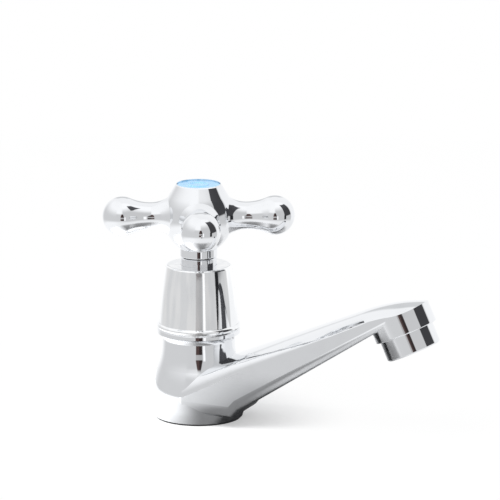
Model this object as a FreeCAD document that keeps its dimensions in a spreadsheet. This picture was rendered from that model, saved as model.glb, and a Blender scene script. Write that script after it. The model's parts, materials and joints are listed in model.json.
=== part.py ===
import FreeCAD, Part

import math
import os
import re

import Sketcher

Vector = FreeCAD.Vector
Placement = FreeCAD.Placement
Rotation = FreeCAD.Rotation

# A deck-mounted basin tap with a cross handle, in millimetres.  The origin is
# the centre of the foot where it stands on the basin deck, +Z points up and
# the spout points along +X.

# ---------------------------------------------------------------- sizes ----
# Every driving dimension, once: its name, its value and what it measures.
SIZES = [
    # foot, column and collar of the body
    ("foot_rim_lift", 0.8, "clear height of the foot rim over the deck"),
    ("foot_rim_radius", 19.0, "foot where it meets the deck"),
    ("foot_radius", 19.8, "widest part of the foot"),
    ("foot_curve_top", 5.8, "height where the foot's curve ends"),
    ("flare_bottom", 10.5, "height where the column starts to draw in"),
    ("flare_top", 33.0, "height where the column is straight again"),
    ("flare_balance", 0.44, "share of the flare that is hollow"),
    ("column_radius", 15.7, "column under the collar"),
    ("cove_bottom", 34.9, "foot of the collar's hollow curve"),
    ("cove_height", 2.7, "height of the collar's hollow curve"),
    ("collar_radius", 17.9, "collar that the shroud stands on"),
    ("collar_top", 39.4, "top of the body"),
    ("collar_edge", 0.35, "softened top edge of the collar"),
    # water passages of the body
    ("inlet_thread_radius", 8.33, "G3/8 socket for the tail"),
    ("inlet_socket_depth", 8.4, "depth of the socket for the tail"),
    ("seat_bore_radius", 5.6, "bore of the valve seat"),
    ("seat_lip_radius", 7.0, "outside of the raised seat lip"),
    ("seat_height", 13.5, "height of the seat's sealing lip"),
    ("seat_lip_height", 1.5, "how far the lip stands up in the chamber"),
    ("seat_lip_land", 0.6, "flat on the lip that the washer seals on"),
    ("chamber_radius", 9.3, "valve chamber above the seat"),
    ("bonnet_thread_radius", 10.48, "G1/2 thread that holds the bonnet"),
    ("bonnet_thread_depth", 12.4, "length of that thread in the body"),
    ("waterway_radius", 3.8, "passage through the spout"),
    ("waterway_low_x", 4.0, "start of the passage, from the axis"),
    ("waterway_low_z", 15.3, "start of the passage, height"),
    ("waterway_high_x", 7.5, "end of the passage, back from the outlet rim"),
    ("waterway_high_z", 16.2, "end of the passage, over the outlet rim"),
    # spout
    ("spout_crest_height", 22.02, "crest line carried back to the axis"),
    ("spout_crest_slope", 0.417, "rise of the crest per run"),
    ("spout_belly_height", -7.98, "underside line carried back to the axis"),
    ("spout_belly_slope", 0.64, "rise of the underside per run"),
    ("spout_band_height", 4.2, "foot band left free under the spout"),
    ("spout_heel_start", 21.2, "where the heel of the spout turns up"),
    ("spout_heel_end", 23.8, "where the heel meets the underside"),
    ("spout_back", -6.0, "where the spout starts inside the column"),
    ("spout_back_width", 18.6, "half width of the spout at that start"),
    ("spout_front", 6.5, "uncut length of the spout past the outlet rim"),
    ("spout_root_width", 20.0, "half width of the spout at the axis"),
    ("spout_taper", 0.0687, "loss of half width per run"),
    ("shoulder_root_radius", 8.6, "shoulder of the spout at the axis"),
    ("shoulder_head_radius", 0.7, "shoulder of the spout at the head"),
    ("shoulder_fade", 68.0, "where the shoulder has become crisp"),
    ("crown_root_radius", 82.0, "crown of the spout at the axis"),
    ("crown_head_radius", 26.0, "crown of the spout at the head"),
    ("belly_root_radius", 7.0, "lower corner of the spout at the axis"),
    ("belly_taper", 0.045, "loss of lower corner radius per run"),
    ("nose_start", 22.5, "where the crest starts to level out, back from the outlet rim"),
    ("nose_crest_radius", 80.0, "curve of the crest over the head"),
    ("nose_crest_rest", 0.6, "rise left at the start of that curve, degrees"),
    # outlet head, along its own tilted axis
    ("outlet_reach", 99.5, "outlet rim, from the axis"),
    ("outlet_height", 25.5115, "outlet rim, under the crest line"),
    ("outlet_tilt", 24.3, "lean of the outlet from upright, degrees"),
    ("head_radius", 13.75, "outlet head"),
    ("head_length", 12.6, "height of the head up into the spout"),
    ("head_edge", 0.5, "softened rim of the head"),
    ("outlet_chamber_radius", 8.0, "chamber above the aerator"),
    ("outlet_chamber_depth", 8.5, "depth of that chamber from the rim"),
    ("spigot_radius", 10.9, "M22 thread under the head"),
    ("spigot_length", 5.0, "length of that thread"),
    # aerator
    ("shell_radius", 12.0, "aerator shell"),
    ("shell_length", 8.9, "aerator shell, rim to head"),
    ("shell_lip_radius", 9.4, "opening of the shell"),
    ("shell_lip", 1.2, "thickness of the shell's lip"),
    ("shell_edge", 0.6, "bevel of the shell's rim"),
    ("insert_radius", 9.2, "straightener inside the lip"),
    ("insert_recess", 0.4, "straightener behind the rim"),
    ("insert_flange_radius", 10.5, "flange of the straightener"),
    ("insert_flange", 1.2, "thickness of that flange"),
    ("insert_web", 0.6, "wall between two cells of the straightener"),
    ("insert_hub_radius", 0.9, "solid middle of the straightener"),
    ("insert_ring_width", 2.0, "width of one ring of cells"),
    ("insert_cells", 6, "cells of the inner ring, and more in each ring out"),
    ("screen_thickness", 0.35, "wire screen"),
    ("screen_radius", 10.3, "wire screen"),
    ("screen_mesh", 0.9, "opening of the screen's mesh"),
    ("screen_hub_radius", 1.6, "solid middle of the screen"),
    ("screen_cells", 8, "openings of the screen's inner ring"),
    ("aerator_washer_bore", 7.6, "bore of the aerator washer"),
    # gasket, tail and fixings under the deck
    ("gasket_radius", 18.2, "foot gasket"),
    ("gasket_bore", 11.0, "bore of the gasket and the washers"),
    ("gasket_thickness", 2.0, "foot gasket"),
    ("tail_radius", 10.45, "G1/2 tail, over its thread"),
    ("tail_bore_radius", 6.0, "bore of the tail"),
    ("tail_length", 46.0, "tail below the deck"),
    ("pilot_radius", 9.2, "plain pilot at the end of the tail"),
    ("pilot_length", 3.0, "plain pilot at the end of the tail"),
    ("tail_seal_thickness", 1.0, "fibre ring between tail and body"),
    ("deck_thickness", 16.0, "basin deck that the fixings clamp"),
    ("deck_washer_radius", 17.5, "rubber washer under the deck"),
    ("deck_washer_thickness", 2.5, "rubber washer under the deck"),
    ("clamp_washer_radius", 16.5, "metal washer"),
    ("clamp_washer_thickness", 1.4, "metal washer"),
    ("backnut_flats", 27.0, "backnut across its flats"),
    ("backnut_thickness", 7.0, "backnut"),
    ("backnut_collar", 1.2, "round collar of the backnut"),
    ("backnut_collar_radius", 14.6, "round collar of the backnut"),
    # bonnet
    ("bonnet_washer_radius", 13.4, "fibre washer under the bonnet"),
    ("bonnet_washer_thickness", 1.5, "fibre washer under the bonnet"),
    ("bonnet_washer_recess", 1.0, "recess for that washer in the body"),
    ("flange_radius", 14.5, "threaded flange that holds the shroud"),
    ("flange_thickness", 3.7, "threaded flange that holds the shroud"),
    ("bonnet_flats", 22.0, "bonnet hexagon across its flats"),
    ("bonnet_hex_height", 7.4, "bonnet hexagon"),
    ("bonnet_neck_radius", 10.2, "upper barrel of the bonnet"),
    ("bonnet_neck_height", 10.6, "upper barrel of the bonnet"),
    ("spindle_thread_radius", 6.0, "lifting thread of the spindle"),
    ("packing_radius", 7.2, "packing and gland thread"),
    ("packing_height", 3.4, "gland packing"),
    ("gland_thread_length", 4.4, "gland thread in the bonnet"),
    ("gland_flats", 19.0, "gland nut across its flats"),
    ("gland_hex_height", 3.6, "gland nut hexagon"),
    ("boss_radius", 7.8, "gland boss that shows above the shroud"),
    ("boss_rise", 3.2, "gland boss above the shroud"),
    # shroud
    ("shroud_wall", 1.3, "wall of the shroud"),
    ("shroud_top", 67.6, "top of the shroud"),
    ("shroud_top_radius", 14.4, "shroud at its top edge"),
    ("shroud_edge", 1.1, "rounding of the top edge"),
    ("shroud_base_radius", 17.05, "shroud above its bead"),
    ("shroud_sweep_radius", 330.0, "swell of the shroud's side"),
    ("bead_radius", 18.1, "bead round the foot of the shroud"),
    ("bead_height", 2.6, "bead round the foot of the shroud"),
    ("bead_foot_radius", 17.4, "foot of the shroud under the bead"),
    ("shroud_land_height", 4.4, "threaded land inside the shroud"),
    # spindle and jumper
    ("stem_radius", 4.5, "spindle stem"),
    ("spindle_thread_length", 21.5, "lifting thread of the spindle"),
    ("lift_room", 6.0, "free height above the lifting thread"),
    ("guide_bottom", 30.0, "lower end of the bonnet's lifting thread"),
    ("bonnet_mouth_radius", 8.7, "mouth of the bonnet over the jumper"),
    ("spline_radius", 4.2, "splined end, over its teeth"),
    ("spline_depth", 0.55, "depth of a spline groove"),
    ("spline_teeth", 20, "teeth of the spline"),
    ("spline_length", 11.5, "splined end"),
    ("groove_floor_share", 0.45, "share of a pitch taken by a groove's floor"),
    ("groove_mouth_share", 0.7, "share of a pitch taken by a groove's mouth"),
    ("key_tip_share", 0.36, "share of a pitch taken by the tip of the bush's tooth"),
    ("key_root_share", 0.5, "share of a pitch taken by the root of that tooth"),
    ("key_reach", 0.7, "share of a groove's depth that the tooth fills"),
    ("key_sunk", 0.5, "how far the tooth starts inside the bush's wall"),
    ("spindle_top", 3.0, "top of the spindle under the arms, tap closed"),
    ("jumper_plate_radius", 8.2, "plate of the jumper"),
    ("jumper_plate_thickness", 2.4, "plate of the jumper"),
    ("jumper_stem_radius", 3.4, "stem of the jumper"),
    ("jumper_stem_length", 14.5, "stem of the jumper"),
    ("jumper_stud_radius", 2.4, "stud under the jumper"),
    ("jumper_washer_radius", 7.8, "tap washer"),
    ("jumper_washer_thickness", 3.6, "tap washer"),
    ("jumper_nut_flats", 8.0, "nut under the tap washer"),
    ("jumper_nut_height", 2.6, "nut under the tap washer"),
    ("stud_end", 0.8, "end of the stud below the nut"),
    # handle
    ("handle_gap", 0.45, "gap between the boss and the handle"),
    ("neck_radius", 8.05, "neck of the handle"),
    ("neck_edge", 0.4, "softened foot of the neck"),
    ("neck_bore_radius", 6.5, "hollow foot of the neck"),
    ("arm_height", 21.4, "arms over the top of the shroud"),
    ("hub_radius", 15.2, "hub at the height of the arms"),
    ("hub_bowl_radius", 17.9, "curve of the hub below the arms"),
    ("hub_dome_radius", 18.0, "curve of the hub above the arms"),
    ("hub_top", 14.1, "top of the hub over the arms"),
    ("hub_edge", 0.4, "softened rim round the index button"),
    ("hub_rim_wall", 0.2, "flat of the hub round the index button"),
    ("arm_count", 4, "arms of the cross"),
    ("arm_heading", 24.0, "where the first arm points, degrees"),
    ("ball_centre", 32.9, "ball of an arm, from the axis"),
    ("ball_radius", 8.6, "ball of an arm"),
    ("arm_waist_place", 20.5, "waist of an arm, from the axis"),
    ("arm_waist_radius", 6.0, "waist of an arm"),
    ("arm_root_place", 10.5, "root of an arm, from the axis"),
    ("arm_root_radius", 10.6, "root of an arm"),
    ("arm_start", 1.0, "where an arm starts inside the hub"),
    ("screw_well_radius", 7.3, "well for the handle screw"),
    ("screw_well_floor", 1.0, "floor of that well over the arms"),
    ("bush_radius", 6.1, "splined bush in the handle"),
    ("screw_radius", 2.4, "shank of the handle screw"),
    ("screw_length", 14.0, "shank of the handle screw"),
    ("screw_head_radius", 4.6, "head of the handle screw"),
    ("screw_head_height", 2.8, "head of the handle screw"),
    ("screw_slot", 1.2, "width of the screw's cross recess"),
    ("screw_slots", 4, "arms of the screw's cross recess"),
    ("screw_washer_thickness", 0.8, "washer under the screw"),
    ("button_radius", 9.4, "index button"),
    ("button_thickness", 1.5, "index button"),
    ("button_recess", 0.45, "index button below the rim"),
    ("button_skirt", 5.0, "depth of the button's snap skirt"),
    ("button_wall", 1.1, "wall of that skirt"),
    ("button_ring_radius", 4.2, "raised ring on the button"),
    ("button_ring_height", 0.25, "raised ring on the button"),
    # broken edges and cuts
    ("thread_bevel", 0.6, "bevel at the start of a thread or a plate"),
    ("fine_bevel", 0.4, "broken edge of a small turned part"),
    ("drill_point", 1.5, "cone at the end of a drilled hole"),
    ("past", 1.0, "how far a cut runs past the piece"),
    # fits
    ("running", 0.06, "radial clearance where a part turns or slides"),
    ("screwed", 0.05, "radial clearance of a screwed joint"),
    ("loose", 0.25, "radial clearance of a free hole"),
]

# Places and sizes that follow from the ones above.
DERIVED = {
    "body_floor": "foot_rim_lift",
    "gasket_top": "gasket_thickness",
    "inlet_socket_top": "gasket_top + inlet_socket_depth",
    "chamber_floor": "seat_height - seat_lip_height",
    "bonnet_seat": "collar_top - bonnet_washer_recess",
    "thread_bottom": "bonnet_seat - bonnet_thread_depth",
    "flange_bottom": "bonnet_seat + bonnet_washer_thickness",
    "flange_top": "flange_bottom + flange_thickness",
    "hex_top": "flange_top + bonnet_hex_height",
    "bonnet_top": "hex_top + bonnet_neck_height",
    "packing_floor": "bonnet_top - gland_thread_length - packing_height",
    "packing_top": "packing_floor + packing_height",
    "boss_top": "shroud_top + boss_rise",
    "arm_level": "shroud_top + arm_height",
    "hub_summit": "arm_level + hub_top",
    "spindle_end": "arm_level - spindle_top",
    "well_floor": "arm_level + screw_well_floor",
    "neck_bottom": "boss_top + handle_gap",
    "spline_bottom": "spindle_end - spline_length",
    "bush_bottom": "spline_bottom",
    "plate_bottom": "seat_height + jumper_washer_thickness",
    "plate_top": "plate_bottom + jumper_plate_thickness",
    "spindle_bottom": "plate_top + running",
    "spindle_thread_top": "spindle_bottom + spindle_thread_length",
    "guide_top": "spindle_thread_top + lift_room",
    "button_top": "hub_summit - button_recess",
    "button_seat": "button_top - button_thickness",
    "flange_seat": "shell_lip + insert_flange",
    "aerator_washer_floor": "flange_seat + screen_thickness",
    "spigot_end": "shell_length - spigot_length",
    "hub_top_radius": "button_radius + screwed + hub_rim_wall + hub_edge",
    "dome_axis": "hub_radius - hub_dome_radius",
    "dome_reach": "sqrt((hub_top_radius - dome_axis) ^ 2 + (hub_top - hub_edge) ^ 2)",
    "dome_slant": "atan((hub_top - hub_edge) / (hub_top_radius - dome_axis)) - "
    "acos(hub_dome_radius / dome_reach)",
    "neck_top": "arm_level - sqrt(hub_bowl_radius ^ 2 - "
    "(neck_radius - hub_radius + hub_bowl_radius) ^ 2)",
    "waist_curve": "((ball_centre - arm_waist_place) ^ 2 + arm_waist_radius ^ 2 - "
    "ball_radius ^ 2) / (2 * (ball_radius - arm_waist_radius))",
    "ball_share": "ball_radius / (waist_curve + ball_radius)",
    "screw_seat": "well_floor + screw_washer_thickness",
    "screw_end": "screw_seat - screw_length",
    "jumper_stem_top": "plate_top + jumper_stem_length",
    "outlet_level": "spout_crest_height + spout_crest_slope * outlet_reach - outlet_height",
    "spout_end": "outlet_reach + spout_front",
    "waterway_rise": "outlet_level + waterway_high_z - waterway_low_z",
    "waterway_run": "outlet_reach - waterway_high_x - waterway_low_x",
    "nose_place": "outlet_reach - nose_start",
    "nose_axis_x": "nose_place + nose_crest_radius * sin(atan(spout_crest_slope))",
    "nose_axis_z": "spout_crest_height + spout_crest_slope * nose_place - "
    "nose_crest_radius * cos(atan(spout_crest_slope))",
    "tail_shoulder": "gasket_top - tail_seal_thickness",
    "deck_washer_bottom": "-deck_thickness - deck_washer_thickness",
    "clamp_washer_bottom": "deck_washer_bottom - clamp_washer_thickness",
    "backnut_bottom": "clamp_washer_bottom - backnut_thickness",
}

doc = FreeCAD.newDocument("cross_handle_tap")
sheet = doc.addObject("Spreadsheet::Sheet", "sizes")
for row, (alias, size, meaning) in enumerate(SIZES, 1):
    sheet.set(f"A{row}", meaning)
    sheet.set(f"B{row}", str(size))
    sheet.setAlias(f"B{row}", alias)
doc.recompute()

ALIASES = {alias for alias, _, _ in SIZES}
WORD = re.compile(r"[A-Za-z_]\w*")


def formula(text):
    """Write a size, given in the names above, as an expression on the sheet."""

    def expand(match):
        word = match.group(0)
        if word in ALIASES:
            return f"sizes.{word}"
        if word in DERIVED:
            return f"({formula(DERIVED[word])})"
        return word

    return WORD.sub(expand, str(text))


def value(text):
    """The present value of a size given in the names above."""
    result = sheet.evalExpression(formula(text))
    return float(getattr(result, "Value", result))


# -------------------------------------------------------------- drawing ----
# How an outline runs from one corner to the next: straight, or on an arc
# whose centre is level with, or plumb over, one end of the arc.
STRAIGHT = "straight"
LEVEL_START = "level start"
LEVEL_END = "level end"
PLUMB_START = "plumb start"
PLUMB_END = "plumb end"


def bulge(radius, side):
    """An arc of a given radius with its centre left (1) or right (-1) of its run."""
    return (radius, side)


def arc_centre(start, end, way):
    """Centre of the arc that runs from start to end in the given way."""
    if way == LEVEL_END:
        return arc_centre(end, start, LEVEL_START)
    if way == PLUMB_END:
        return arc_centre(end, start, PLUMB_START)
    run = end.x - start.x
    rise = end.y - start.y
    if way == LEVEL_START:
        return Vector(start.x + (run**2 + rise**2) / (2 * run), start.y, 0)
    if way == PLUMB_START:
        return Vector(start.x, start.y + (run**2 + rise**2) / (2 * rise), 0)
    radius, side = way
    chord = math.hypot(run, rise)
    height = math.sqrt(value(radius) ** 2 - (chord / 2) ** 2) * side
    return (start + end) / 2 + Vector(-rise, run, 0) * (height / chord)


def edge_curve(start, end, way):
    """The line or the arc, always less than half a circle, from start to end."""
    if way == STRAIGHT:
        return Part.LineSegment(start, end)
    centre = arc_centre(start, end, way)
    outward = ((start + end) / 2 - centre).normalize()
    middle = centre + outward * (start - centre).Length
    return Part.Arc(start, middle, end)


def bind(item, constraint, text):
    """Add a constraint to a sketch and tie its size to the sheet."""
    index = item.addConstraint(constraint)
    item.setExpression(f"Constraints[{index}]", formula(text))


def place_corner(sketch, geometry, end, x, y):
    """Hold one end of an edge at a place given in the names of the sheet."""
    if value(x) == 0:
        sketch.addConstraint(Sketcher.Constraint("PointOnObject", geometry, end, -2))
    else:
        bind(sketch, Sketcher.Constraint("DistanceX", -1, 1, geometry, end, value(x)), x)
    if value(y) == 0:
        sketch.addConstraint(Sketcher.Constraint("PointOnObject", geometry, end, -1))
    else:
        bind(sketch, Sketcher.Constraint("DistanceY", -1, 1, geometry, end, value(y)), y)


def near_end(sketch, geometry, point):
    """Which end of an edge, 1 or 2, lies at the point."""
    first = sketch.getPoint(geometry, 1)
    second = sketch.getPoint(geometry, 2)
    return 1 if (first - point).Length <= (second - point).Length else 2


def draw(sketch, corners):
    """Draw a closed outline: each corner is x, y and the way on to the next."""
    corners = [tuple(corner) + (STRAIGHT,) * (3 - len(corner)) for corner in corners]
    points = [Vector(value(x), value(y), 0) for x, y, _ in corners]
    edges = []
    for place, (_, _, way) in enumerate(corners):
        following = points[(place + 1) % len(points)]
        curve = edge_curve(points[place], following, way)
        edges.append(sketch.addGeometry(curve, False))
    for place, (x, y, way) in enumerate(corners):
        here = near_end(sketch, edges[place], points[place])
        arriving = edges[place - 1]
        there = near_end(sketch, arriving, points[place])
        sketch.addConstraint(
            Sketcher.Constraint("Coincident", edges[place], here, arriving, there)
        )
        place_corner(sketch, edges[place], here, x, y)
        far = 3 - here
        if way in (LEVEL_START, LEVEL_END):
            end = here if way == LEVEL_START else far
            sketch.addConstraint(
                Sketcher.Constraint("Horizontal", edges[place], 3, edges[place], end)
            )
        elif way in (PLUMB_START, PLUMB_END):
            end = here if way == PLUMB_START else far
            sketch.addConstraint(
                Sketcher.Constraint("Vertical", edges[place], 3, edges[place], end)
            )
        elif way != STRAIGHT:
            bind(
                sketch,
                Sketcher.Constraint("Radius", edges[place], value(way[0])),
                way[0],
            )


def origin_part(body, role):
    """One of the body's own origin planes or axes."""
    return next(item for item in body.Origin.OriginFeatures if item.Role == role)


def new_sketch(body, name, plane, x=0, y=0, lift=0, turn=0):
    """A sketch on an origin plane, shifted by x and y, lifted and turned."""
    sketch = body.newObject("Sketcher::SketchObject", name)
    sketch.AttachmentSupport = [(origin_part(body, plane), "")]
    sketch.MapMode = "FlatFace"
    sketch.AttachmentOffset = Placement(
        Vector(value(x), value(y), value(lift)), Rotation(Vector(0, 0, 1), value(turn))
    )
    for axis, size in (("x", x), ("y", y), ("z", lift)):
        if size != 0:
            sketch.setExpression(f"AttachmentOffset.Base.{axis}", formula(size))
    if turn != 0:
        sketch.setExpression("AttachmentOffset.Rotation.Angle", formula(turn))
    return sketch


# ------------------------------------------------------------- features ----
def new_body(label):
    """An empty piece; its label is the piece's name."""
    body = doc.addObject("PartDesign::Body", label)
    body.Label = label
    return body


def spin(body, kind, name, corners, axis="V_Axis", **place):
    """Turn an outline round an axis of its sketch, to add or to cut."""
    sketch = new_sketch(body, f"{name}_outline", "XZ_Plane", **place)
    draw(sketch, corners)
    feature = body.newObject(f"PartDesign::{kind}", name)
    feature.Profile = sketch
    feature.ReferenceAxis = (sketch, [axis])
    feature.Angle = 360
    doc.recompute()
    return feature


def add_turned(body, name, corners, **place):
    """Add a turned shape to a piece."""
    return spin(body, "Revolution", name, corners, **place)


def cut_turned(body, name, corners, **place):
    """Cut a turned shape out of a piece, and see that it did cut."""
    before = body.Shape.Volume
    feature = spin(body, "Groove", name, corners, **place)
    if body.Shape.Volume >= before:
        raise ValueError(f"{body.Label}: {name} cuts nothing")
    return feature


def turned(label, corners):
    """A whole piece turned from one outline of radius and height."""
    body = new_body(label)
    add_turned(body, "blank", corners)
    return body


def ring(label, bore, radius, bottom, top):
    """A plain ring: a washer or a seal."""
    return turned(label, [(bore, bottom), (radius, bottom), (radius, top), (bore, top)])


def add_prism(body, name, corners, bottom, height):
    """Add an upright prism that starts at the given height."""
    sketch = new_sketch(body, f"{name}_outline", "XY_Plane", lift=bottom)
    draw(sketch, corners)
    feature = body.newObject("PartDesign::Pad", name)
    feature.Profile = sketch
    feature.setExpression("Length", formula(height))
    doc.recompute()
    return feature


def cut_prism(body, name, corners, top, depth):
    """Cut an upright prism downwards from the given height."""
    before = body.Shape.Volume
    sketch = new_sketch(body, f"{name}_outline", "XY_Plane", lift=top)
    draw(sketch, corners)
    feature = body.newObject("PartDesign::Pocket", name)
    feature.Profile = sketch
    feature.setExpression("Length", formula(depth))
    doc.recompute()
    if body.Shape.Volume >= before:
        raise ValueError(f"{body.Label}: {name} cuts nothing")
    return feature


def repeat_round(body, feature, count):
    """Repeat a feature evenly round the upright axis of its piece."""
    pattern = body.newObject("PartDesign::PolarPattern", f"{feature.Name}_round")
    pattern.Originals = [feature]
    pattern.Axis = (origin_part(body, "Z_Axis"), [""])
    pattern.Angle = 360
    pattern.setExpression("Occurrences", formula(count))
    body.Tip = pattern
    doc.recompute()
    return pattern


def hexagon(flats):
    """Corners of a hexagon of the given size across its flats."""
    reach = f"{flats} / 2 / cos(30 deg)"
    return [
        (f"{reach} * cos({60 * corner + 30} deg)", f"{reach} * sin({60 * corner + 30} deg)")
        for corner in range(6)
    ]


def wedge(near, far, near_half, far_half):
    """Corners of a slot that lies along X, given by its ends and half widths."""
    return [
        (near, f"-({near_half})"),
        (far, f"-({far_half})"),
        (far, far_half),
        (near, near_half),
    ]


def bevel_hexagon(body, name, flats, face, way):
    """Take the corners off a hexagon's upper (1) or lower (-1) face."""
    reach = f"({flats} / 2 / cos(30 deg) + past)"
    drop = f"({reach} - {flats} / 2) * tan(30 deg) * {way}"
    cut_turned(
        body,
        name,
        [
            (f"{flats} / 2", face),
            (reach, face),
            (reach, f"{face} - {drop}"),
        ],
    )


# ----------------------------------------------------------------- body ----
def spout_section(place, floor, half):
    """Corners of an upright cut through the spout at a place along X."""
    crest = f"(spout_crest_height + spout_crest_slope * ({place}))"
    fade = f"max(0; 1 - ({place}) / shoulder_fade)"
    crown = f"(crown_head_radius + (crown_root_radius - crown_head_radius) * {fade})"
    shoulder = (
        f"(shoulder_head_radius + (shoulder_root_radius - shoulder_head_radius) * {fade})"
    )
    belly = f"(belly_root_radius - belly_taper * ({place}))"
    reach = f"({crown} - {shoulder})"
    drop = f"sqrt({reach} ^ 2 - ({half} - {shoulder}) ^ 2)"
    shoulder_y = f"({half} - {shoulder}) * {crown} / {reach}"
    shoulder_z = f"{crest} - {crown} + {drop} * {crown} / {reach}"
    flank_top = f"{crest} - {crown} + {drop}"
    return [
        (f"-({shoulder_y})", shoulder_z, bulge(crown, -1)),
        (shoulder_y, shoulder_z, LEVEL_END),
        (half, flank_top),
        (half, f"{floor} + {belly}", LEVEL_START),
        (f"{half} - {belly}", floor),
        (f"-({half} - {belly})", floor, LEVEL_END),
        (f"-{half}", f"{floor} + {belly}"),
        (f"-{half}", flank_top, LEVEL_START),
    ]


def add_spout(body):
    """The tapered spout, from inside the column to past the outlet head."""
    underside = "spout_belly_height + spout_belly_slope"
    width = "spout_root_width - spout_taper"
    stations = [
        ("spout_back", "spout_band_height", "spout_back_width"),
        (0, "spout_band_height", "spout_root_width"),
        ("spout_heel_start", "spout_band_height", f"({width} * spout_heel_start)"),
        ("spout_heel_end", f"({underside} * spout_heel_end)", f"({width} * spout_heel_end)"),
        ("shoulder_fade", f"({underside} * shoulder_fade)", f"({width} * shoulder_fade)"),
        ("spout_end", f"({underside} * spout_end)", f"({width} * spout_end)"),
    ]
    sketches = []
    for number, (place, floor, half) in enumerate(stations):
        sketch = new_sketch(body, f"spout_section_{number}", "YZ_Plane", lift=place)
        draw(sketch, spout_section(place, floor, half))
        sketches.append(sketch)
    spout = body.newObject("PartDesign::AdditiveLoft", "spout")
    spout.Profile = sketches[0]
    spout.Sections = sketches[1:]
    spout.Ruled = True
    doc.recompute()


def outlet_frame():
    """Place of a sketch whose vertical axis is the tilted axis of the outlet."""
    return {"x": "outlet_reach", "y": "outlet_level", "turn": "outlet_tilt"}


def trim_nose(body):
    """Round off the end of the spout to the outlet head, seen along the outlet."""
    before = body.Shape.Volume
    sketch = body.newObject("Sketcher::SketchObject", "nose_outline")
    sketch.AttachmentSupport = [(origin_part(body, "XY_Plane"), "")]
    sketch.MapMode = "FlatFace"
    sketch.AttachmentOffset = Placement(
        Vector(value("outlet_reach"), 0, value("outlet_level")),
        Rotation(Vector(0, 1, 0), -value("outlet_tilt")),
    )
    sketch.setExpression("AttachmentOffset.Base.x", formula("outlet_reach"))
    sketch.setExpression("AttachmentOffset.Base.z", formula("outlet_level"))
    sketch.setExpression("AttachmentOffset.Rotation.Angle", formula("-outlet_tilt"))
    far = "head_radius * 2.5"
    draw(
        sketch,
        [
            (0, f"-{far}"),
            (far, f"-{far}"),
            (far, far),
            (0, far),
            (0, "head_radius", PLUMB_START),
            ("head_radius", 0, LEVEL_START),
            (0, "-head_radius"),
        ],
    )
    nose = body.newObject("PartDesign::Pocket", "nose")
    nose.Profile = sketch
    nose.setExpression("Length", formula("shell_length + head_length * 2"))
    nose.Reversed = True
    doc.recompute()
    if body.Shape.Volume >= before:
        raise ValueError("the nose trim cuts nothing")


def level_crest(body):
    """Curve the crest of the spout over the outlet head."""
    before = body.Shape.Volume
    crown = "crown_head_radius / cos(atan(spout_crest_slope))"
    half = "head_radius * 1.3"
    top = "nose_axis_z + nose_crest_radius"
    low = f"{top} - {crown} + sqrt(({crown}) ^ 2 - ({half}) ^ 2)"
    high = f"{top} + head_radius"
    sketch = new_sketch(body, "crest_outline", "YZ_Plane", lift="nose_axis_x")
    draw(
        sketch,
        [
            (f"-{half}", low, bulge(crown, -1)),
            (half, low),
            (half, high),
            (f"-{half}", high),
        ],
    )
    left = Vector(-value(half), value("nose_axis_z"), 0)
    right = Vector(value(half), value("nose_axis_z"), 0)
    axis = sketch.addGeometry(Part.LineSegment(left, right), True)
    place_corner(sketch, axis, 1, f"-{half}", "nose_axis_z")
    place_corner(sketch, axis, 2, half, "nose_axis_z")
    crest = body.newObject("PartDesign::Groove", "crest")
    crest.Profile = sketch
    crest.ReferenceAxis = (sketch, ["Axis0"])
    crest.setExpression("Angle", formula("atan(spout_crest_slope) - nose_crest_rest * 1 deg"))
    crest.Reversed = True
    doc.recompute()
    if body.Shape.Volume >= before:
        raise ValueError("the crest curve cuts nothing")


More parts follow.
